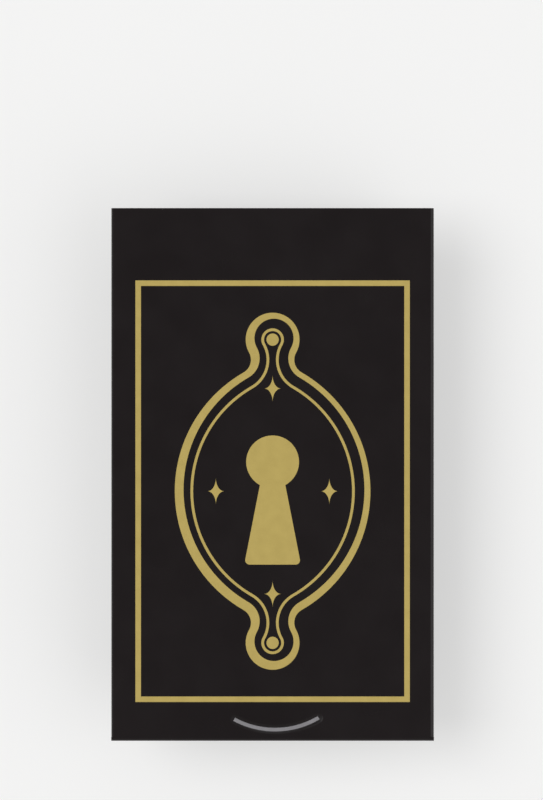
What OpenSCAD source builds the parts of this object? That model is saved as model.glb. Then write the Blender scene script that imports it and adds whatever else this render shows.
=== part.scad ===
// Magnetic key holder box, large size: a pressed steel tray with a flange all round its rim,
// a slide-off lid whose folded side rails run under that flange, and two ferrite magnets,
// each crimped in a steel clip that is riveted into a seat stamped in the tray's floor.
// +Z points out of the lid, +Y away from the thumb ridge. z = 0 is the plane of the magnets'
// faces, which hold the box to steel. Millimetres.

/* [Lid] */
// Width of the lid over its rails
lid_w = 66; // [62:1:80]
// Length of the lid
lid_l = 109; // [104:1:130]
// Sheet thickness of the lid
lid_t = 0.5; // [0.4:0.05:0.6]
// Outside radius of the lid's folds
lid_bend_r = 0.75; // [0.7:0.05:0.9]
// Width of a rail from its outside face to its free edge
rail_w = 3.1; // [2.8:0.1:3.3]
// Distance from the front fold to the ends of the rails, which leaves a slit in each side
corner_slit = 0.1; // [0.1:0.05:0.5]

/* [Thumb ridge] */
// Radius of the ridge's arc
ridge_arc_r = 17.5; // [14:0.5:25]
// Angle that the arc covers, less its round ends
ridge_span = 59; // [30:1:75]
// Angle that the arc is turned by
ridge_tilt = 1; // [-3:0.1:3]
// Height of the ridge over the lid
ridge_h = 0.6; // [0.4:0.05:0.8]
// Radius of the ridge's rounded top
ridge_top_r = 0.85; // [0.8:0.05:1.1]
// Radius of the hollow where the ridge meets the lid
ridge_foot_r = 0.5; // [0.3:0.1:0.6]
// Distance from the lid's front edge to the lowest point of the arc
ridge_edge = 2.4; // [2.2:0.1:6]
// Distance of the arc's middle from the lid's middle, towards +X
ridge_side = 0.5; // [-3:0.1:3]

/* [Grip crimps] */
// Distance of the crimps from the ends of the lid
crimp_end = 14; // [12:1:30]
// Radius of a crimp on the rail's leaf
crimp_r = 0.9; // [0.7:0.1:1]
// Depth of a crimp
crimp_h = 0.2; // [0.15:0.05:0.2]

/* [Tray] */
// Height of the tray from the outside of its floor to the top of its flange
tray_h = 14.5; // [12:0.5:24]
// Sheet thickness of the tray
tray_t = 0.5; // [0.4:0.05:0.6]
// Width of the flange, from the outside of the wall
flange_w = 3.3; // [3:0.1:4]
// Radius of the tray's upright corners, outside
tray_corner_r = 5; // [4:0.5:8]
// Radius between the walls and the floor, outside
tray_floor_r = 3; // [2:0.5:3.5]
// Radius under the flange
flange_bend_r = 0.5; // [0.3:0.1:0.6]

/* [Magnet seats] */
// Depth of the seats stamped in the tray's floor
seat_h = 1.6; // [1.4:0.1:2]
// Radius of a seat's corners, at half its depth
seat_corner_r = 3; // [2.5:0.5:4]
// Gap between a magnet clip and the flat of its seat
seat_margin = 0.4; // [0.2:0.1:0.6]
// Distance from each end of the box to the middle of the magnet near it
magnet_end = 24.5; // [22:0.5:34]

/* [Magnets] */
// Length of a magnet, across the box
magnet_l = 30; // [24:1:31]
// Width of a magnet, along the box
magnet_w = 20; // [14:1:22]
// Thickness of a magnet
magnet_t = 5; // [4:0.5:8]
// Chamfer that the clip's lips close over
magnet_chamfer = 1.2; // [1:0.1:1.5]
// Chamfer of the magnet's other edges
magnet_edge = 0.4; // [0.3:0.1:0.6]

/* [Magnet clips] */
// Sheet thickness of a clip
clip_t = 0.6; // [0.5:0.1:0.8]
// Distance from a magnet's end to the end of a lip
lip_inset = 2; // [1:0.5:5]
// Length of the lip's crimped edge
lip_crimp = 0.9; // [0.6:0.1:1]
// Radius of the ear round a rivet
ear_r = 3.4; // [3:0.1:3.6]

/* [Rivets] */
// Radius of a rivet's shank
rivet_r = 1.5; // [1.2:0.1:1.7]
// Radius of a rivet's head
rivet_head_r = 2.3; // [2.2:0.1:2.6]
// Height of a rivet's head
rivet_head_h = 0.8; // [0.6:0.1:1]
// Radius of the bore in a rivet's rolled tail
rivet_bore_r = 0.8; // [0.6:0.1:0.9]
// Radius of the tail's rolled edge
rivet_roll_r = 0.5; // [0.4:0.05:0.6]

/* [Fits] */
// Running gap above and below the flange
run_gap = 0.25; // [0.25:0.05:0.3]
// Gap between the flange's edge and the inside of a rail
side_gap = 0.2; // [0.15:0.05:0.3]
// Gap between the flange and the front lip of the closed lid
lip_gap = 0.15; // [0.1:0.05:0.3]
// Gap between a magnet and the lips of its clip
clip_gap = 0.1; // [0.05:0.05:0.2]
// Gap round a rivet in its hole
rivet_gap = 0.05; // [0.02:0.01:0.1]
// Gap between a rivet's head and the end of its magnet
head_gap = 1; // [0.6:0.1:1.2]

/* [Hidden] */
$fn = 64;
CUT = 1;            // how far a cutter runs past what it cuts
RIDGE_END = 0.99;   // size of the ridge's round ends, to a hair inside the arc's own surface
RIDGE_TURN = 0.5;   // angle by which their middles lie inside the ends of the arc
HALVES = [-1, 1];

// Heights, from the magnets' faces up
seat_z = magnet_t + clip_t;                    // underside of a seat's flat
floor_z = seat_z - seat_h;                     // underside of the tray's floor
flange_z = floor_z + tray_h;                   // top of the flange
lid_z = flange_z + run_gap;                    // underside of the lid
lid_top = lid_z + lid_t;                       // face of the lid
rail_z = flange_z - tray_t - run_gap - lid_t;  // underside of the rails and the front lip

// The flat of the lid's face, between the folds of its rails
lid_flat_w = lid_w - 2 * lid_bend_r;

// The tray's plan: the flange fills the lid's rails, and ends flush with the lid at the rear
flange_x = lid_w / 2 - lid_t - side_gap;
flange_front = -lid_l / 2 + lid_t + lip_gap;
flange_rear = lid_l / 2;
flange_y = (flange_front + flange_rear) / 2;
tray_w = 2 * (flange_x - flange_w);
tray_l = flange_rear - flange_front - 2 * flange_w;

// Magnet clips and their seats
magnet_pitch = lid_l - 2 * magnet_end;
lip_y = magnet_w / 2 + clip_gap;               // inside face of a lip
rivet_x = magnet_l / 2 + head_gap + rivet_head_r;
seat_bend = seat_h / 2;                        // middle radius of the two bends of a seat's wall
seat_w = 2 * (rivet_x + ear_r + seat_margin + seat_bend);
seat_l = 2 * (lip_y + clip_t + seat_margin + seat_bend);

// ---- shapes that repeat ----

// A quarter of a flat ring, from angle start to start + 90
module quarter_ring(inner, outer, start) {
    rotate(start) intersection() {
        difference() {
            circle(outer);
            if (inner > 0) circle(inner);
        }
        square(outer);
    }
}

// A rectangle with round corners, about the origin
module round_rect(w, l, r) {
    square([w - 2 * r, l], center = true);
    square([w, l - 2 * r], center = true);
    for (x = HALVES, y = HALVES) translate([x * (w / 2 - r), y * (l / 2 - r)]) circle(r);
}

// Runs a profile round a rectangle with corner radius r. The profile's x is the distance out
// from the centre of a corner, and its y is the height
module sweep_round_rect(w, l, r) {
    for (i = [0:3]) {
        across = (i % 2 == 0 ? w : l) / 2 - r;
        along = (i % 2 == 0 ? l : w) / 2 - r;
        rotate(90 * i) translate([across, along]) {
            rotate([90, 0, 0]) linear_extrude(2 * along) children();
            rotate_extrude(angle = 90) children();
        }
    }
}

// Extrudes a profile of (y, z) along X, about the origin
module along_x(length) {
    rotate([90, 0, 90]) translate([0, 0, -length / 2]) linear_extrude(length) children();
}

// Extrudes a profile of (x, z) along Y, from one y to another
module along_y(from, to) {
    translate([0, to, 0]) rotate([90, 0, 0]) linear_extrude(to - from) children();
}

// ---- slide lid ----

// The folded edge of the lid's sheet. x = 0 is the outside of the fold. A fold with a leaf goes
// back under itself, as a rail does. A fold with a flat has that much of the lid's face
module lid_fold(leaf, flat = 0) {
    drop = leaf ? lid_bend_r : 0;
    translate([-lid_bend_r, lid_top - lid_bend_r])
        quarter_ring(lid_bend_r - lid_t, lid_bend_r, 0);
    if (flat > 0) translate([-lid_bend_r - flat, lid_z]) square([flat, lid_t]);
    translate([-lid_t, rail_z + drop]) square([lid_t, lid_top - lid_bend_r - rail_z - drop]);
    if (leaf) {
        translate([-lid_bend_r, rail_z + lid_bend_r])
            quarter_ring(lid_bend_r - lid_t, lid_bend_r, 270);
        translate([-rail_w, rail_z]) square([rail_w - lid_bend_r, lid_t]);
    }
}

// The lid's face with a rail down each side
module lid_section() {
    translate([-lid_flat_w / 2, lid_z]) square([lid_flat_w, lid_t]);
    for (side = [0, 1]) mirror([side, 0]) translate([lid_w / 2, 0]) lid_fold(true);
}

// Half of the ridge's cross-section, with its rounded top and the hollow at its foot.
// y = 0 is the lid's face, and it reaches down to half the sheet
module ridge_half_section() {
    centre_y = ridge_h - ridge_top_r;
    foot_x = sqrt(pow(ridge_top_r + ridge_foot_r, 2) - pow(ridge_foot_r - centre_y, 2));
    tangent_y = centre_y
        + (ridge_foot_r - centre_y) * ridge_top_r / (ridge_top_r + ridge_foot_r);
    intersection() {
        union() {
            translate([0, centre_y]) circle(ridge_top_r);
            difference() {
                translate([0, -lid_t / 2]) square([foot_x, lid_t / 2 + tangent_y]);
                translate([foot_x, ridge_foot_r]) circle(ridge_foot_r);
            }
        }
        translate([0, -lid_t / 2]) square([foot_x, lid_t / 2 + ridge_h]);
    }
}

// Half of the groove that the embossing leaves under the ridge
module groove_half_section() {
    intersection() {
        translate([0, ridge_h - ridge_top_r]) circle(ridge_top_r - lid_t);
        translate([0, -lid_t - CUT]) square([ridge_top_r, lid_t + 2 * CUT]);
    }
}

// Runs a half section along the ridge's arc, and round each of its ends
module along_ridge() {
    arc_y = -lid_l / 2 + ridge_edge + ridge_arc_r;
    translate([ridge_side, arc_y, lid_top]) rotate(270 + ridge_tilt - ridge_span / 2) {
        rotate_extrude(angle = ridge_span) translate([ridge_arc_r, 0]) {
            children();
            mirror([1, 0]) children();
        }
        for (turn = [RIDGE_TURN, ridge_span - RIDGE_TURN])
            rotate(turn) translate([ridge_arc_r, 0, 0])
                rotate_extrude() scale(RIDGE_END) children();
    }
}

// Places what grips the flange: a crimp near each end of both rails
module at_crimps() {
    leaf_x = lid_w / 2 - (lid_bend_r + rail_w) / 2;
    for (x = HALVES, y = HALVES)
        translate([x * leaf_x, y * (lid_l / 2 - crimp_end), rail_z]) children();
}

// A shallow domed button of radius crimp_r, crimp_h high over z, that goes down by root
module crimp_button(z, root) {
    ball_r = (pow(crimp_r, 2) + pow(crimp_h, 2)) / (2 * crimp_h);
    translate([0, 0, z]) rotate_extrude() intersection() {
        translate([0, crimp_h - ball_r]) circle(ball_r);
        translate([0, -root]) square([crimp_r, root + crimp_h]);
    }
}

module slide_lid() {
    front = -lid_l / 2;
    color("#221e1f") difference() {
        union() {
            along_y(front + lid_bend_r + corner_slit, lid_l / 2) lid_section();
            along_x(lid_w) mirror([1, 0]) translate([lid_l / 2, 0])
                lid_fold(false, corner_slit);
            translate([-lid_flat_w / 2, front + lid_bend_r, lid_z])
                cube([lid_flat_w, corner_slit + lid_t, lid_t]);
            along_ridge() ridge_half_section();
            at_crimps() crimp_button(lid_t, lid_t / 4);
        }
        along_ridge() groove_half_section();
        at_crimps() crimp_button(0, CUT);
    }
}

// ---- tray ----

// The sheet from the floor, up the wall and out to the flange's edge
module tray_wall_section() {
    r = tray_corner_r;
    under = flange_z - tray_t - flange_bend_r;
    translate([r - tray_floor_r, floor_z + tray_floor_r])
        quarter_ring(tray_floor_r - tray_t, tray_floor_r, 270);
    translate([r - tray_t, floor_z + tray_floor_r])
        square([tray_t, under - floor_z - tray_floor_r]);
    translate([r + flange_bend_r, under])
        quarter_ring(flange_bend_r, flange_bend_r + tray_t, 90);
    translate([r + flange_bend_r, flange_z - tray_t])
        square([flange_w - flange_bend_r, tray_t]);
}

// The sheet from the floor up to a seat, as two bends that meet half way
module seat_wall_section() {
    middle_z = (floor_z + seat_z + tray_t) / 2;
    translate([seat_corner_r + seat_bend, middle_z])
        quarter_ring(seat_bend - tray_t / 2, seat_bend + tray_t / 2, 180);
    translate([seat_corner_r - seat_bend, middle_z])
        quarter_ring(seat_bend - tray_t / 2, seat_bend + tray_t / 2, 0);
}

module at_magnets() {
    for (y = HALVES) translate([0, y * magnet_pitch / 2, 0]) children();
}

module tray() {
    color("#262223") union() {
        translate([0, flange_y, 0])
            sweep_round_rect(tray_w, tray_l, tray_corner_r) tray_wall_section();
        translate([0, 0, floor_z]) linear_extrude(tray_t) difference() {
            translate([0, flange_y]) round_rect(
                tray_w - 2 * tray_floor_r, tray_l - 2 * tray_floor_r,
                tray_corner_r - tray_floor_r
            );
            at_magnets() round_rect(
                seat_w + 2 * seat_bend, seat_l + 2 * seat_bend, seat_corner_r + seat_bend
            );
        }
        at_magnets() {
            sweep_round_rect(seat_w, seat_l, seat_corner_r) seat_wall_section();
            translate([0, 0, seat_z]) linear_extrude(tray_t) difference() {
                round_rect(
                    seat_w - 2 * seat_bend, seat_l - 2 * seat_bend, seat_corner_r - seat_bend
                );
                rivet_holes();
            }
        }
    }
}

// ---- magnets and clips ----

module rivet_holes() {
    for (x = HALVES) translate([x * rivet_x, 0]) circle(rivet_r + rivet_gap);
}

// Ferrite block, chamfered all round, with deeper chamfers where the clip's lips close
module magnet() {
    top_w = magnet_w / 2 - magnet_edge;
    face_w = magnet_w / 2 - magnet_chamfer;
    end_l = magnet_l / 2 - magnet_edge;
    color("#35322f") intersection() {
        along_x(magnet_l) polygon([
            [-face_w, 0], [face_w, 0],
            [magnet_w / 2, magnet_chamfer], [magnet_w / 2, magnet_t - magnet_edge],
            [top_w, magnet_t], [-top_w, magnet_t],
            [-magnet_w / 2, magnet_t - magnet_edge], [-magnet_w / 2, magnet_chamfer],
        ]);
        along_y(-magnet_w, magnet_w) polygon([
            [-end_l, 0], [end_l, 0],
            [magnet_l / 2, magnet_edge], [magnet_l / 2, magnet_t - magnet_edge],
            [end_l, magnet_t], [-end_l, magnet_t],
            [-magnet_l / 2, magnet_t - magnet_edge], [-magnet_l / 2, magnet_edge],
        ]);
    }
}

// One lip of a clip: it stands down beside the magnet and closes over its chamfer at 45 degrees
module clip_lip_section() {
    slant = lip_crimp / sqrt(2);
    thick = clip_t / sqrt(2);
    inner_z = magnet_chamfer + clip_gap * tan(22.5);
    outer_z = inner_z - clip_t * tan(22.5);
    polygon([
        [lip_y, magnet_t + clip_t / 2], [lip_y, inner_z],
        [lip_y - slant, inner_z - slant],
        [lip_y - slant + thick, inner_z - slant - thick],
        [lip_y + clip_t, outer_z], [lip_y + clip_t, magnet_t],
    ]);
    translate([lip_y, magnet_t]) quarter_ring(0, clip_t, 0);
}

module magnet_clip() {
    color("silver") union() {
        for (side = [0, 1]) mirror([0, side, 0])
            along_x(magnet_l - 2 * lip_inset) clip_lip_section();
        translate([0, 0, magnet_t]) linear_extrude(clip_t) difference() {
            union() {
                square([magnet_l - 2 * lip_inset, 2 * lip_y], center = true);
                square([2 * rivet_x, 2 * ear_r], center = true);
                for (x = HALVES) translate([x * rivet_x, 0]) circle(ear_r);
            }
            rivet_holes();
        }
    }
}

// Semi-tubular rivet: a low domed head under the ear, and a tail rolled over inside the tray
module rivet() {
    tail_z = seat_z + tray_t;
    dome_r = (pow(rivet_head_r, 2) + pow(rivet_head_h, 2)) / (2 * rivet_head_h);
    roll_x = rivet_bore_r + rivet_roll_r;
    color("gainsboro") rotate_extrude() {
        intersection() {
            translate([0, magnet_t - rivet_head_h + dome_r]) circle(dome_r);
            translate([0, magnet_t - rivet_head_h]) square([rivet_head_r, rivet_head_h]);
        }
        difference() {
            translate([0, magnet_t - rivet_head_h / 2])
                square([rivet_r, rivet_head_h / 2 + clip_t + tray_t]);
            translate([0, seat_z]) square([rivet_bore_r, tray_t + CUT]);
        }
        translate([rivet_bore_r, tail_z]) square([2 * rivet_roll_r, rivet_roll_r / 2]);
        translate([roll_x, tail_z + rivet_roll_r / 2]) intersection() {
            circle(rivet_roll_r);
            translate([-rivet_roll_r, 0]) square(2 * rivet_roll_r);
        }
    }
}

// ---- the assembly: end is -1 at the front and 1 at the rear, side is -1 left and 1 right ----

module at_magnet(end) translate([0, end * magnet_pitch / 2, 0]) children();

module rivet_at(side, end) at_magnet(end) translate([side * rivet_x, 0, 0]) rivet();

slide_lid();
tray();
at_magnet(-1) magnet_clip();  // magnet_clip_front
at_magnet(1) magnet_clip();  // magnet_clip_rear
at_magnet(-1) magnet();  // magnet_front
at_magnet(1) magnet();  // magnet_rear
rivet_at(-1, -1);  // rivet_front_left
rivet_at(1, -1);  // rivet_front_right
rivet_at(-1, 1);  // rivet_rear_left
rivet_at(1, 1);  // rivet_rear_right
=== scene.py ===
# The looks of a magnetic key holder box: enamelled steel sheet, a gold print on the lid, a grey
# painted highlight along the thumb ridge's crest, zinc-plated clips and rivets, and ferrite
# magnets.
# Metres, in the frame of the imported model: +Z out of the lid, +Y away from the thumb ridge.

import math

import bmesh
import bpy
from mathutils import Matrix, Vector

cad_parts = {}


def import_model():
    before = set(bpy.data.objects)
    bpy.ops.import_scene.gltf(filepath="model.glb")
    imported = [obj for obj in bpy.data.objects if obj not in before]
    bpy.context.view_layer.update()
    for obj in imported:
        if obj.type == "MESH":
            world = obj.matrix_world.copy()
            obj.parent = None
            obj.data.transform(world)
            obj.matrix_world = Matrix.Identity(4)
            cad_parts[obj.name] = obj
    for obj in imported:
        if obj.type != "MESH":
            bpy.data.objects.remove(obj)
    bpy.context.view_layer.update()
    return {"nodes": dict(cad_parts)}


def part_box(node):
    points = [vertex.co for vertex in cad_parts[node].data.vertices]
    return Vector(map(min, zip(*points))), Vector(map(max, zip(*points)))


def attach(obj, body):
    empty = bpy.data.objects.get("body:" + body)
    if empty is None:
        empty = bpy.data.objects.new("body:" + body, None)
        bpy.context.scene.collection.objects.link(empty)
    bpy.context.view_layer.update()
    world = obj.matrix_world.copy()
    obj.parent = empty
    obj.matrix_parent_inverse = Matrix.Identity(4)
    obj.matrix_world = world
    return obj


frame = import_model()

MM = 0.001

# ---- places on the object, from the frame ----

LID_LOW, LID_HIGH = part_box("slide_lid")
TRAY_LOW, TRAY_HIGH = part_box("tray")
SHEET = 0.5 * MM              # thickness of the lid's sheet
RAIL_W = 3.1 * MM             # width of the lid's rails
RAIL_START = 0.85 * MM        # from the lid's front edge to the front ends of its rails
RIDGE_H = 0.6 * MM            # height of the thumb ridge over the lid's face
LID_FACE = LID_HIGH.z - RIDGE_H

# ---- the print ----

INK_PROUD = 0.02 * MM         # how far the ink stands over what it is printed on
INK_SUNK = 0.05 * MM          # how far its underside lies below that
POINT_GAP = 0.001 * MM        # points of an outline that are nearer than this are one
MESH_GAP = 0.0005 * MM        # the same for the corners of an ink film's mesh

BORDER_W = 56.1 * MM          # the gold border, over the outside of its line
BORDER_L = 86.2 * MM
BORDER_LINE = 1.13 * MM
BORDER_Y = -3.4 * MM          # its middle, and the emblem's, from the lid's middle

# The emblem is a keyhole plate: two long sides, a round lobe at each end for a screw, and a
# hollow curve between a side and a lobe
PLATE_W = 40.0 * MM
PLATE_L = 73.0 * MM
PLATE_SIDE_R = 28.0 * MM
PLATE_LOBE_R = 5.5 * MM
PLATE_HOLLOW_R = 3.0 * MM
PLATE_LINE = 1.5 * MM         # mean width of its outer line
PLATE_SHADE = 0.4 * MM        # how much wider that line is at the lower left than the mean
HAIRLINE_INSET = 3.2 * MM     # from the plate's outline to the thin line inside it
HAIRLINE = 0.55 * MM
SCREW_R = 1.25 * MM

KEYHOLE_HEAD_R = 5.4 * MM
KEYHOLE_HEAD_Y = 6.0 * MM
KEYHOLE_NECK = 2.6 * MM       # half width where the skirt leaves the head
KEYHOLE_FOOT = 5.6 * MM       # half width at the bottom
KEYHOLE_FOOT_Y = -15.0 * MM
KEYHOLE_CORNER_R = 0.9 * MM

STAR_X = 11.6 * MM            # the small stars beside the keyhole, and above and below it
STAR_Y = 21.0 * MM
STAR_LONG = 2.7 * MM
STAR_SHORT = 1.7 * MM
STAR_STEPS = 12

# ---- a painted highlight: the grey film on the thumb ridge's crest, which follows the ridge ----

RIDGE_HIGHLIGHT_W = 0.74 * MM        # its width
RIDGE_ARC_R = 17.5 * MM
RIDGE_SPAN = math.radians(59)
RIDGE_TILT = math.radians(1.0)
RIDGE_TOP_R = 0.85 * MM       # radius of the ridge's rounded top, across it
RIDGE_EDGE = 2.4 * MM         # from the lid's front edge to the arc's nearest point
RIDGE_SIDE = 0.5 * MM         # from the lid's middle to the arc's, towards +X
RIDGE_ROWS = 96               # faces along the line, and across it
RIDGE_COLUMNS = 8
RIDGE_SHARP = math.radians(40)

# ---- enamel and ink ----

PEEL = 2.0 * MM               # size of the orange peel in a coat of enamel or ink
PEEL_GRAIN = 0.25 * MM        # and of the finer grain on it,
GRAIN_SHARE = 12              # which is this many times shallower
SMUDGE = 0.025                # how far smudges take the enamel's roughness off its mean
FLAKE_GLINT = 0.06            # how far flakes take the ink's roughness off its mean
FLAKE_SHADE = 0.45            # how much of the ink's shade its flakes give,
COAT_SHADE = 0.4              # and how much the thickness of its coat

# ---- bare and worn steel ----

CUT_SKIN = 0.02 * MM          # how near to a cut edge's plane a point counts as on it
FACE_SKIN = 0.15 * MM         # how far under the lid's face its rails' front ends begin
BARE_ROUGH = 0.1              # how much rougher bare steel is than enamel
RAIL_RUB_W = 0.4 * MM         # how far in from the lid's sides its rub marks reach
RAIL_RUB = 0.22               # how bare the lid's rub marks are
FLANGE_RUB_OUT = 1.2 * MM     # from the tray's sides to where its rub marks are full,
FLANGE_RUB_IN = 2.4 * MM      # and to where they end
FLANGE_RUB_FULL = 0.6 * MM    # the same two, down from its rim
FLANGE_RUB_LOW = 0.8 * MM
FLANGE_RUB = 0.5              # how bare those rub marks are
KEYS_HIGH = TRAY_LOW.z + 6 * MM   # keys scratch the tray's floor and seats below this
KEYS_FADE = 1.0 * MM          # and the scratches are full this far below that
KEYS_RUB = 0.30               # how bare they are at most
KEYS_SWAY = 8 * MM            # how far noise bends them off a straight line
TRAY_METAL = 0.8              # how metallic a wholly bare spot of the tray is
SCRATCH_EDGE = 0.04           # step in the noise from beside a scratch to within it

# ---- modifiers on the solids ----

CLIP_EDGE = 0.06 * MM         # how far the clips' edges are rounded off
MAGNET_EDGE = 0.15 * MM
EDGE_SEGMENTS = 2
EDGE_ANGLE = math.radians(30)

# ---- colours, linear ----

BLACK = (0.0042, 0.0018, 0.0022)
BLACK_SOFT = (0.0062, 0.0036, 0.0040)
TRAY_BLACK = (0.0050, 0.0032, 0.0036)
TRAY_BLACK_SOFT = (0.0090, 0.0070, 0.0074)
GOLD = (0.535, 0.412, 0.124)
GOLD_DEEP = (0.440, 0.334, 0.094)
# painted highlight: the greys of the film on the thumb ridge's crest
RIDGE_HIGHLIGHT_GREY = (0.235, 0.227, 0.240)
RIDGE_HIGHLIGHT_GREY_DEEP = (0.190, 0.184, 0.194)
BARE_STEEL = (0.380, 0.370, 0.350)
ZINC_COOL = (0.560, 0.585, 0.600)
ZINC_WARM = (0.640, 0.610, 0.520)
RIVET_COOL = (0.640, 0.650, 0.655)
RIVET_WARM = (0.700, 0.680, 0.620)
FERRITE = (0.030, 0.028, 0.027)
FERRITE_PALE = (0.090, 0.085, 0.080)
FLOOR_COLOUR = (0.890, 0.890, 0.885)

# ---- sizes and levels of the stage, the light and the camera ----

FLOOR_SIZE = 40.0
FLOOR_DROP = 0.05 * MM        # keeps the floor just clear of the magnets' faces
FLOOR_GLOW = 0.5              # how far the floor's seen colour is free of light and shadow
# The light from all round, as (sine of the elevation, level): what a lit floor sends back up,
# a pale horizon, and a dimmer ceiling
SKY = ((-0.05, 0.80), (0.0, 0.88), (0.12, 0.88), (0.35, 0.52), (1.0, 0.40))

PHOTO_H = 800                 # the photograph's height in pixels, its longer side
PHOTO_CENTRE = (271.5, 400.0)
LID_CENTRE_PX = (272.6, 474.6)
LID_L_PX = 533.1
LENS = 180.0                  # millimetres, on a sensor of
SENSOR = 36.0
NEAREST = 0.01                # what the camera sees, in metres
FARTHEST = 100.0

# ---- node helpers ----

MIX_FACTOR, MIX_FIRST, MIX_SECOND = 0, 6, 7   # a Mix node's inputs, when it mixes colours
MIX_RESULT = 2


def plug(tree, socket, value):
    """Links a socket to another, or sets it to a number, a colour or a vector."""
    if isinstance(value, bpy.types.NodeSocket):
        tree.links.new(value, socket)
    elif socket.type == "RGBA":
        socket.default_value = (*value, 1.0)
    else:
        socket.default_value = value


def fit(tree, node, **inputs):
    """Plugs a node's inputs by name, with _ for each space, and returns the node."""
    for name, value in inputs.items():
        plug(tree, node.inputs[name.replace("_", " ")], value)
    return node


def fill(tree, node, *values):
    """Plugs a node's inputs in their order, and returns the node."""
    for socket, value in zip(node.inputs, values):
        plug(tree, socket, value)
    return node


def add(tree, kind, settings=None, **inputs):
    """Adds a node, with its settings and its inputs by name."""
    node = tree.nodes.new(kind)
    for name, value in (settings or {}).items():
        setattr(node, name, value)
    return fit(tree, node, **inputs)


def mix(tree, factor, first, second):
    """A colour from first, at factor 0, to second, at factor 1."""
    node = add(tree, "ShaderNodeMix", {"data_type": "RGBA"})
    plug(tree, node.inputs[MIX_FACTOR], factor)
    plug(tree, node.inputs[MIX_FIRST], first)
    plug(tree, node.inputs[MIX_SECOND], second)
    return node.outputs[MIX_RESULT]


def mix_shaders(tree, factor, first, second):
    """A shader from first, at factor 0, to second, at factor 1."""
    return fill(tree, add(tree, "ShaderNodeMixShader"), factor, first, second).outputs[0]


def work(tree, operation, first, *others):
    """Works numbers together with one operation, two at a time from the left."""
    for other in others:
        node = add(tree, "ShaderNodeMath", {"operation": operation})
        first = fill(tree, node, first, other).outputs[0]
    return first


def times(tree, *numbers):
    return work(tree, "MULTIPLY", *numbers)


def most(tree, *numbers):
    return work(tree, "MAXIMUM", *numbers)


def unsigned(tree, number):
    return work(tree, "ABSOLUTE", number, 0.0)


def spread(tree, value, low, high, to_low=0.0, to_high=1.0):
    """Maps low..high onto to_low..to_high, and stops at both ends."""
    node = add(tree, "ShaderNodeMapRange")
    return fill(tree, node, value, low, high, to_low, to_high).outputs["Result"]


def place(tree):
    """Where a point is on the object, in metres."""
    return add(tree, "ShaderNodeTexCoord").outputs["Object"]


def facing(tree):
    """Which way the surface faces."""
    return add(tree, "ShaderNodeNewGeometry").outputs["Normal"]


def axes(tree, vector):
    node = add(tree, "ShaderNodeSeparateXYZ", Vector=vector)
    return node.outputs["X"], node.outputs["Y"], node.outputs["Z"]


def noise(tree, point, size, detail=2.0, roughness=0.5):
    """Cloudy noise whose blots are about size across."""
    return add(
        tree, "ShaderNodeTexNoise", Vector=point, Scale=1 / size, Detail=detail, Roughness=roughness
    ).outputs["Fac"]


def clouds(
    tree, point, size, detail, roughness=0.5, low=0.35, high=0.65, to_low=0.0, to_high=1.0
):
    """Noise whose values from low to high are spread over to_low..to_high."""
    return spread(tree, noise(tree, point, size, detail, roughness), low, high, to_low, to_high)


def streaks(tree, point, angle, across, along):
    """Noise drawn out into streaks that run at angle from X, in the plane of the box."""
    turned = add(
        tree, "ShaderNodeMapping", {"vector_type": "TEXTURE"}, Vector=point, Rotation=(0, 0, angle)
    ).outputs["Vector"]
    drawn = add(
        tree, "ShaderNodeMapping", Vector=turned, Scale=(across / along, 1, 1)
    ).outputs["Vector"]
    return noise(tree, drawn, size=across, detail=1.0)


def scratches(tree, point, degrees, across, along, level):
    """Thin scratches at several angles: 1 in a scratch and 0 between."""
    lines = [streaks(tree, point, math.radians(angle), across, along) for angle in degrees]
    return most(tree, *[spread(tree, line, level, level + SCRATCH_EDGE) for line in lines])


def near_edge(tree, reach, off, full):
    """Up to 1 at edges, by how far the normal turns within reach: its cosine from off to full."""
    rounded = add(tree, "ShaderNodeBevel", {"samples": 6}, Radius=reach).outputs["Normal"]
    dot = add(tree, "ShaderNodeVectorMath", {"operation": "DOT_PRODUCT"})
    return spread(tree, fill(tree, dot, rounded, facing(tree)).outputs["Value"], off, full)


def bump(tree, height, depth, under=None):
    """The normal of a surface whose height goes over depth, in metres, on top of another bump."""
    node = add(tree, "ShaderNodeBump", Height=height, Distance=depth, Strength=1.0)
    if under is not None:
        fit(tree, node, Normal=under)
    return node.outputs["Normal"]


def new_finish(name):
    """A material with its tree and its empty shader."""
    material = bpy.data.materials.new(name)
    material.use_nodes = True
    tree = material.node_tree
    return material, tree, tree.nodes["Principled BSDF"]


def shade_of(colour, level):
    return [level * c for c in colour]


# ---- finishes ----


def orange_peel(tree, point, depth):
    """The faint unevenness of stoved enamel, with finer grain on top."""
    peel = bump(tree, noise(tree, point, size=PEEL, detail=1.0), depth)
    grain = noise(tree, point, size=PEEL_GRAIN, detail=1.0)
    return bump(tree, grain, depth / GRAIN_SHARE, under=peel)


def enamel(name, deep, soft, rough):
    """Black stoved enamel, of a mean roughness. Returns what a caller can add to."""
    material, tree, shader = new_finish(name)
    point = place(tree)
    colour = mix(tree, clouds(tree, point, size=9 * MM, detail=3.0), deep, soft)
    smudges = clouds(
        tree, point, size=12 * MM, detail=4.0, roughness=0.6,
        to_low=rough - SMUDGE, to_high=rough + SMUDGE,
    )
    peel = orange_peel(tree, point, depth=0.010 * MM)
    fit(tree, shader, Base_Color=colour, Roughness=smudges, Normal=peel, Specular_IOR_Level=0.30)
    return material, tree, shader, point, colour, smudges


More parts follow.
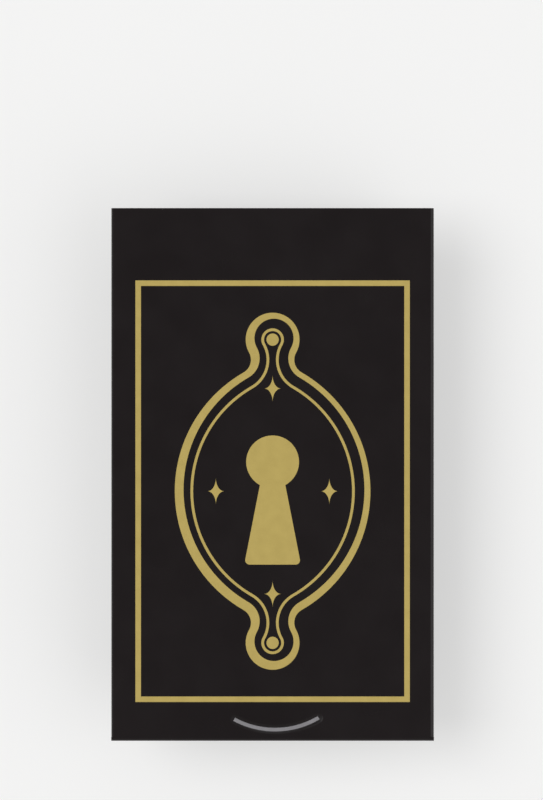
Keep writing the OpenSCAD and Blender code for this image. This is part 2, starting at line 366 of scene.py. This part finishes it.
def lid_enamel():
    """Printed sheet: the enamel stops at the sheet's cut edges, where bare steel shows."""
    material, tree, shader, point, colour, rough = enamel(
        "lid_enamel", BLACK, BLACK_SOFT, rough=0.25
    )
    x, y, z = axes(tree, point)
    side = unsigned(tree, x)
    from_rail_start = unsigned(tree, work(tree, "SUBTRACT", y, LID_LOW.y + RAIL_START))

    def under(value, limit):
        return work(tree, "LESS_THAN", value, limit)

    def over(value, limit):
        return work(tree, "GREATER_THAN", value, limit)

    rear_edge = over(y, LID_HIGH.y - CUT_SKIN)
    lip_edge = times(
        tree,
        under(z, LID_LOW.z + CUT_SKIN),
        under(y, LID_LOW.y + SHEET + CUT_SKIN),
    )
    fold_ends = times(
        tree,
        over(side, LID_HIGH.x - CUT_SKIN),
        under(y, LID_LOW.y + RAIL_START - CUT_SKIN),
    )
    rail_ends = times(
        tree,
        under(from_rail_start, CUT_SKIN),
        under(z, LID_FACE - FACE_SKIN),
    )
    leaf_edges = times(
        tree,
        under(side, LID_HIGH.x - RAIL_W + CUT_SKIN),
        under(z, LID_LOW.z + SHEET + CUT_SKIN),
        over(y, LID_LOW.y + 2 * SHEET),
    )
    rubbed = times(
        tree,
        scratches(tree, point, (89, 92), across=0.05 * MM, along=25 * MM, level=0.69),
        spread(tree, side, LID_HIGH.x - RAIL_RUB_W, LID_HIGH.x),
        RAIL_RUB,
    )
    bare = most(tree, rubbed, rear_edge, lip_edge, fold_ends, rail_ends, leaf_edges)
    fit(
        tree, shader,
        Base_Color=mix(tree, bare, colour, BARE_STEEL),
        Metallic=bare,
        Roughness=work(tree, "ADD", rough, times(tree, bare, BARE_ROUGH)),
    )
    return material


def tray_enamel():
    """Dipped enamel, with rub marks where the rails run and light scratches where keys lie."""
    material, tree, shader, point, colour, rough = enamel(
        "tray_enamel", TRAY_BLACK, TRAY_BLACK_SOFT, rough=0.33
    )
    x, _, z = axes(tree, point)
    side = unsigned(tree, x)
    rubbed = times(
        tree,
        scratches(tree, point, (90,), across=0.12 * MM, along=30 * MM, level=0.58),
        spread(tree, side, TRAY_HIGH.x - FLANGE_RUB_IN, TRAY_HIGH.x - FLANGE_RUB_OUT),
        spread(tree, z, TRAY_HIGH.z - FLANGE_RUB_LOW, TRAY_HIGH.z - FLANGE_RUB_FULL),
        FLANGE_RUB,
    )
    keyed = times(tree, key_marks(tree, point), spread(tree, z, KEYS_HIGH, KEYS_HIGH - KEYS_FADE))
    bare = most(tree, rubbed, keyed)
    fit(
        tree, shader,
        Base_Color=mix(tree, bare, colour, BARE_STEEL),
        Metallic=times(tree, bare, TRAY_METAL),
        Roughness=rough,
    )
    return material


def key_marks(tree, point):
    """Faint curved scratches in patches, on what faces up."""
    drift = add(tree, "ShaderNodeTexNoise", Vector=point, Scale=1 / (25 * MM)).outputs["Color"]
    swayed = add(tree, "ShaderNodeVectorMath", {"operation": "MULTIPLY_ADD"})
    swayed = fill(tree, swayed, drift, (KEYS_SWAY, KEYS_SWAY, 0), point).outputs[0]
    _, _, up = axes(tree, facing(tree))
    return times(
        tree,
        scratches(tree, swayed, (12, 63, 98, 147), across=0.05 * MM, along=16 * MM, level=0.715),
        clouds(tree, point, size=14 * MM, detail=2.0, low=0.48, high=0.62, to_high=KEYS_RUB),
        spread(tree, up, low=0.9, high=0.98),
    )


def ink_for_print_and_highlight(name, pale, deep, metallic, rough):
    """Printing ink, also used for the painted highlight on the thumb ridge: fine flakes of pigment,
    and a thickness that varies a little.
    """
    material, tree, shader = new_finish(name)
    point = place(tree)
    flakes = clouds(tree, point, size=0.06 * MM, detail=1.0)
    coat = clouds(tree, point, size=2.2 * MM, detail=3.0, low=0.3, high=0.7)
    paleness = work(
        tree, "ADD", times(tree, flakes, FLAKE_SHADE), times(tree, coat, COAT_SHADE)
    )
    fit(
        tree, shader,
        Base_Color=mix(tree, paleness, deep, pale),
        Roughness=spread(
            tree, flakes, low=0.0, high=1.0, to_low=rough - FLAKE_GLINT, to_high=rough + FLAKE_GLINT
        ),
        Normal=orange_peel(tree, point, depth=0.006 * MM),
        Metallic=metallic,
        Specular_IOR_Level=0.35,
    )
    return material


def plated_steel(name, cool, warm, angle):
    """Zinc-plated sheet or wire: a faint warm and cool film, dull spots, and drawn lines."""
    material, tree, shader = new_finish(name)
    point = place(tree)
    film = clouds(tree, point, size=3.5 * MM, detail=3.0)
    dull = clouds(tree, point, size=0.5 * MM, detail=4.0, roughness=0.7, low=0.55, high=0.75)
    drawn = streaks(tree, point, angle, across=0.08 * MM, along=5 * MM)
    lines = bump(tree, drawn, depth=0.002 * MM)
    fit(
        tree, shader,
        Base_Color=mix(tree, dull, mix(tree, film, cool, warm), shade_of(cool, 0.72)),
        Roughness=spread(tree, drawn, low=0.35, high=0.65, to_low=0.27, to_high=0.42),
        Normal=bump(tree, noise(tree, point, size=0.35 * MM), depth=0.003 * MM, under=lines),
        Metallic=1.0,
    )
    return material


def ferrite():
    """Sintered ferrite: a charcoal grain with pits darkened as painted shade, grinding lines on its
    faces, chipped edges.
    """
    material, tree, shader = new_finish("ferrite")
    point = place(tree)
    grain = noise(tree, point, size=0.22 * MM, detail=4.0, roughness=0.75)
    cloud = clouds(tree, point, size=4.5 * MM, detail=3.0, roughness=0.6, to_high=0.45)
    ground = streaks(tree, point, math.radians(4), across=0.16 * MM, along=16 * MM)
    pits_with_painted_shade = clouds(tree, point, size=0.55 * MM, detail=2.0, low=0.66, high=0.70)
    chips = times(
        tree,
        near_edge(tree, reach=0.45 * MM, off=0.995, full=0.93),
        clouds(tree, point, size=1.1 * MM, detail=3.0, low=0.52, high=0.57),
    )
    lines = spread(tree, ground, low=0.54, high=0.66, to_high=0.55)
    colour = mix(tree, spread(tree, grain, low=0.40, high=0.62), FERRITE, FERRITE_PALE)
    colour = mix(tree, cloud, colour, FERRITE)
    colour = mix(tree, lines, colour, FERRITE_PALE)
    # painted shade: the pits are darkened in colour as well as dented by the bump below
    colour = mix(tree, pits_with_painted_shade, colour, shade_of(FERRITE, 0.35))
    relief = bump(tree, grain, depth=0.03 * MM)
    relief = bump(tree, ground, depth=0.006 * MM, under=relief)
    relief = bump(tree, pits_with_painted_shade, depth=-0.06 * MM, under=relief)
    fit(
        tree, shader,
        Base_Color=mix(tree, chips, colour, shade_of(FERRITE_PALE, 1.7)),
        Roughness=spread(tree, grain, low=0.3, high=0.7, to_low=0.42, to_high=0.66),
        Normal=bump(tree, chips, depth=-0.08 * MM, under=relief),
        Specular_IOR_Level=0.5,
    )
    return material


def floor_finish():
    """Pale, with light shadows, and clear from beneath so that the magnets can be seen."""
    material, tree, shader = new_finish("floor")
    fit(tree, shader, Base_Color=FLOOR_COLOUR, Roughness=0.9, Specular_IOR_Level=0.0)
    path = add(tree, "ShaderNodeLightPath").outputs
    rays = ("Is Camera Ray", "Is Glossy Ray", "Is Transmission Ray")
    seen = times(tree, most(tree, *[path[ray] for ray in rays]), FLOOR_GLOW)
    glow = add(tree, "ShaderNodeEmission", Color=FLOOR_COLOUR, Strength=1.0).outputs[0]
    clear = add(tree, "ShaderNodeBsdfTransparent").outputs[0]
    beneath = add(tree, "ShaderNodeNewGeometry").outputs["Backfacing"]
    pale = mix_shaders(tree, seen, shader.outputs[0], glow)
    fit(tree, tree.nodes["Material Output"], Surface=mix_shaders(tree, beneath, pale, clear))
    return material


# ---- outlines, as lists of (x, y) ----


def arc(centre, radius, start, end, steps=24):
    """Points on an arc, from the angle start to end, in radians."""
    angles = [start + (end - start) * i / steps for i in range(steps + 1)]
    return [(centre[0] + radius * math.cos(a), centre[1] + radius * math.sin(a)) for a in angles]


def rectangle(width, length, y):
    """A rectangle around (0, y)."""
    x, up = width / 2, length / 2
    return [(-x, y - up), (x, y - up), (x, y + up), (-x, y + up)]


def shifted(outline, x, y):
    return [(px + x, py + y) for px, py in outline]


def mirrored(outline, x, y):
    """The outline with x or y times -1, in the opposite order, which keeps it a chain."""
    return [(px * x, py * y) for px, py in reversed(outline)]


def plate_outline(inset):
    """The keyhole plate's outline, moved inwards by inset around the same arc centres."""
    side_x = PLATE_W / 2 - PLATE_SIDE_R
    lobe_y = PLATE_L / 2 - PLATE_LOBE_R
    to_side = PLATE_SIDE_R + PLATE_HOLLOW_R
    to_lobe = PLATE_LOBE_R + PLATE_HOLLOW_R
    span = math.hypot(side_x, lobe_y)
    towards = (to_side**2 - to_lobe**2 + span**2) / (2 * span)
    off = math.sqrt(to_side**2 - towards**2)
    along = (-side_x / span, lobe_y / span)
    hollow = (side_x + towards * along[0] + off * along[1], towards * along[1] - off * along[0])
    lobe_angle = math.atan2(hollow[1] - lobe_y, hollow[0])
    side_angle = math.atan2(hollow[1], hollow[0] - side_x)
    corner = (
        arc((side_x, 0), PLATE_SIDE_R - inset, 0, side_angle)
        + arc(hollow, PLATE_HOLLOW_R + inset, math.pi + side_angle, math.pi + lobe_angle)
        + arc((0, lobe_y), PLATE_LOBE_R - inset, lobe_angle, math.pi / 2)
    )
    upper = corner + mirrored(corner, -1, 1)
    return upper + mirrored(upper, 1, -1)


def keyhole_outline():
    """A round head over a skirt that widens to a foot with rounded corners."""
    neck = math.asin(KEYHOLE_NECK / KEYHOLE_HEAD_R)
    head = arc(
        (0, KEYHOLE_HEAD_Y), KEYHOLE_HEAD_R, neck - math.pi / 2, math.pi / 2, steps=40
    )
    lean = math.atan2(KEYHOLE_FOOT - KEYHOLE_NECK, KEYHOLE_HEAD_Y - KEYHOLE_FOOT_Y)
    foot = arc(
        (KEYHOLE_FOOT - KEYHOLE_CORNER_R, KEYHOLE_FOOT_Y + KEYHOLE_CORNER_R),
        KEYHOLE_CORNER_R, -math.pi / 2, lean, steps=12,
    )
    half = foot + head
    return half + mirrored(half, -1, 1)


def star_outline():
    """A four-pointed star with hollow sides, each side a quarter of an ellipse."""
    angles = [math.pi / 2 * i / STAR_STEPS for i in range(STAR_STEPS + 1)]
    quarter = [(STAR_SHORT * (1 - math.sin(a)), STAR_LONG * (1 - math.cos(a))) for a in angles]
    half = quarter + mirrored(quarter, -1, 1)
    return half + mirrored(half, 1, -1)


# ---- pieces ----


def put(name, data):
    """Puts a new object in the scene."""
    thing = bpy.data.objects.new(name, data)
    bpy.context.scene.collection.objects.link(thing)
    return thing


def link(name, mesh, material, body):
    """An object for a mesh, with its finish and the body that it rides on."""
    piece = put(name, mesh)
    mesh.materials.append(material)
    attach(piece, body)
    return piece


def flat_film(name, outlines):
    """A mesh for a film of ink around Z 0. An outline inside another is a hole in it."""
    curve = bpy.data.curves.new(name, "CURVE")
    curve.dimensions = "2D"
    curve.fill_mode = "BOTH"
    curve.extrude = (INK_PROUD + INK_SUNK) / 2
    for outline in outlines:
        following = outline[1:] + outline[:1]
        distinct = [p for p, q in zip(outline, following) if math.dist(p, q) > POINT_GAP]
        spline = curve.splines.new("POLY")
        spline.use_cyclic_u = True
        spline.points.add(len(distinct) - 1)
        for point, (x, y) in zip(spline.points, distinct):
            point.co = (x, y, 0, 1)
    draft = bpy.data.objects.new(name + "_draft", curve)
    mesh = bpy.data.meshes.new_from_object(draft)
    bpy.data.objects.remove(draft)
    bpy.data.curves.remove(curve)
    mesh.name = name
    return mesh


def print_film(name, outlines, material):
    """A film of ink on the lid's face."""
    mesh = flat_film(name, outlines)
    middle = LID_FACE + (INK_PROUD - INK_SUNK) / 2
    shape = bmesh.new()
    shape.from_mesh(mesh)
    bmesh.ops.remove_doubles(shape, verts=shape.verts, dist=MESH_GAP)
    bmesh.ops.translate(shape, verts=shape.verts, vec=(0, 0, middle))
    shape.to_mesh(mesh)
    shape.free()
    return link(name, mesh, material, "lid")


def ridge_grid(shape, rise):
    """Rows of corners along the thumb ridge, rise above its surface."""
    centre = Vector((RIDGE_SIDE, LID_LOW.y + RIDGE_EDGE + RIDGE_ARC_R, LID_FACE))
    section = []
    for j in range(RIDGE_COLUMNS + 1):
        across = RIDGE_HIGHLIGHT_W * (j / RIDGE_COLUMNS - 0.5)
        height = RIDGE_H - RIDGE_TOP_R + math.sqrt(RIDGE_TOP_R**2 - across**2)
        section.append((RIDGE_ARC_R + across, height + rise))
    grid = []
    for i in range(RIDGE_ROWS + 1):
        angle = RIDGE_TILT - math.pi / 2 + RIDGE_SPAN * (i / RIDGE_ROWS - 0.5)
        spots = [Vector((r * math.cos(angle), r * math.sin(angle), h)) for r, h in section]
        grid.append([shape.verts.new(centre + spot) for spot in spots])
    return grid


def ridge_highlight_film(material):
    """Painted highlight: a grey film along the top of the thumb ridge, cut square at both ends."""
    shape = bmesh.new()
    top = ridge_grid(shape, INK_PROUD)
    under = ridge_grid(shape, -INK_SUNK)
    for i in range(RIDGE_ROWS):
        for j in range(RIDGE_COLUMNS):
            shape.faces.new((top[i][j], top[i][j + 1], top[i + 1][j + 1], top[i + 1][j]))
            shape.faces.new((under[i][j], under[i + 1][j], under[i + 1][j + 1], under[i][j + 1]))
        for j in (0, RIDGE_COLUMNS):
            shape.faces.new((top[i][j], top[i + 1][j], under[i + 1][j], under[i][j]))
    for i in (0, RIDGE_ROWS):
        for j in range(RIDGE_COLUMNS):
            shape.faces.new((top[i][j], top[i][j + 1], under[i][j + 1], under[i][j]))
    bmesh.ops.recalc_face_normals(shape, faces=shape.faces)
    for face in shape.faces:
        face.smooth = True
    mesh = bpy.data.meshes.new("ridge_highlight_film")
    shape.to_mesh(mesh)
    shape.free()
    mesh.set_sharp_from_angle(angle=RIDGE_SHARP)
    return link("ridge_highlight_film", mesh, material, "lid")


def lid_print(material):
    """The border and the emblem, with a film for each kind of mark."""
    border = [
        rectangle(BORDER_W, BORDER_L, BORDER_Y),
        rectangle(BORDER_W - 2 * BORDER_LINE, BORDER_L - 2 * BORDER_LINE, BORDER_Y),
    ]
    print_film("print_border", border, material)
    shade = PLATE_SHADE / math.sqrt(2)
    plate = [plate_outline(0), shifted(plate_outline(PLATE_LINE), shade, shade)]
    hairline = [plate_outline(HAIRLINE_INSET), plate_outline(HAIRLINE_INSET + HAIRLINE)]
    lobe_y = PLATE_L / 2 - PLATE_LOBE_R
    screws = [arc((0, y), SCREW_R, 0, 2 * math.pi, steps=48) for y in (-lobe_y, lobe_y)]
    star_places = ((-STAR_X, 0), (STAR_X, 0), (0, -STAR_Y), (0, STAR_Y))
    stars = [shifted(star_outline(), x, y) for x, y in star_places]
    for name, outlines in (
        ("print_plate_line", plate),
        ("print_plate_hairline", hairline),
        ("print_plate_screws", screws),
        ("print_keyhole", [keyhole_outline()]),
        ("print_stars", stars),
    ):
        print_film(name, [shifted(outline, 0, BORDER_Y) for outline in outlines], material)


def dress(finish, *nodes, edge=0.0):
    """Gives CAD nodes their finish, and rounds their sharp edges off by edge."""
    for node in nodes:
        piece = frame["nodes"][node]
        piece.data.materials.clear()
        piece.data.materials.append(finish)
        if edge > 0:
            weld = piece.modifiers.new("weld", "WELD")
            weld.merge_threshold = POINT_GAP
            bevel = piece.modifiers.new("soft_edges", "BEVEL")
            bevel.width = edge
            bevel.segments = EDGE_SEGMENTS
            bevel.limit_method = "ANGLE"
            bevel.angle_limit = EDGE_ANGLE
            bevel.harden_normals = True


# ---- stage, light and camera ----


def stage():
    """A wide floor just under the magnets."""
    mesh = bpy.data.meshes.new("floor")
    corners = [(x, y, -FLOOR_DROP) for x, y in rectangle(FLOOR_SIZE, FLOOR_SIZE, 0)]
    mesh.from_pydata(corners, [], [(0, 1, 2, 3)])
    mesh.materials.append(floor_finish())
    floor = put("floor", mesh)
    floor.visible_diffuse = False     # the world below stands in for it, from beneath too


def world():
    """Soft light from all round."""
    studio = bpy.data.worlds.new("studio")
    bpy.context.scene.world = studio
    studio.use_nodes = True
    tree = studio.node_tree
    _, _, up = axes(tree, add(tree, "ShaderNodeTexCoord").outputs["Generated"])
    ramp = add(tree, "ShaderNodeValToRGB", Fac=spread(tree, up, -1.0, 1.0))
    stops = ramp.color_ramp.elements
    while len(stops) < len(SKY):
        stops.new(0.5)
    for stop, (height, level) in zip(stops, SKY):
        stop.position = (height + 1) / 2
        stop.color = (level, level, level, 1)
    fit(tree, tree.nodes["Background"], Color=ramp.outputs["Color"], Strength=1.0)


def sun(name, azimuth, elevation, strength, width, glossy):
    """A soft lamp far away, which shows in reflections only if glossy. The angles, width among
    them, are in degrees, and azimuth is where it stands, counted from +X towards +Y."""
    lamp = bpy.data.lights.new(name, "SUN")
    lamp.energy = strength
    lamp.angle = math.radians(width)
    holder = put(name, lamp)
    a, e = math.radians(azimuth), math.radians(elevation)
    stand = Vector((math.cos(a) * math.cos(e), math.sin(a) * math.cos(e), math.sin(e)))
    holder.rotation_mode = "QUATERNION"
    holder.rotation_quaternion = stand.to_track_quat("Z", "Y")
    holder.location = stand
    holder.visible_glossy = glossy


def camera():
    """Straight down on the lid, which fills the frame as it does in the photograph."""
    pixel = (LID_HIGH.y - LID_LOW.y) / LID_L_PX
    data = bpy.data.cameras.new("camera")
    data.lens = LENS
    data.sensor_width = SENSOR
    data.clip_start = NEAREST
    data.clip_end = FARTHEST
    holder = put("camera", data)
    holder.location = (
        (PHOTO_CENTRE[0] - LID_CENTRE_PX[0]) * pixel,
        (LID_CENTRE_PX[1] - PHOTO_CENTRE[1]) * pixel,
        LID_FACE + PHOTO_H * pixel * LENS / SENSOR,
    )
    bpy.context.scene.camera = holder


# ---- the object ----

dress(lid_enamel(), "slide_lid")
dress(tray_enamel(), "tray")
dress(
    plated_steel("clip_steel", ZINC_COOL, ZINC_WARM, angle=0.0),
    "magnet_clip_front", "magnet_clip_rear",
    edge=CLIP_EDGE,
)
dress(
    plated_steel("rivet_steel", RIVET_COOL, RIVET_WARM, angle=math.radians(40)),
    "rivet_front_left", "rivet_front_right", "rivet_rear_left", "rivet_rear_right",
)
dress(ferrite(), "magnet_front", "magnet_rear", edge=MAGNET_EDGE)
lid_print(ink_for_print_and_highlight("gold_print", GOLD, GOLD_DEEP, metallic=0.15, rough=0.42))
# painted highlight: a grey film on the thumb ridge's crest stands in for the light it catches
ridge_highlight_film(ink_for_print_and_highlight("ridge_grey", RIDGE_HIGHLIGHT_GREY, RIDGE_HIGHLIGHT_GREY_DEEP, metallic=0.0, rough=0.45))

stage()
world()
sun("key_light", azimuth=165, elevation=55, strength=1.50, width=40, glossy=False)
sun("fill_light", azimuth=-25, elevation=42, strength=0.80, width=60, glossy=True)
camera()
bpy.context.scene.view_settings.view_transform = "Standard"
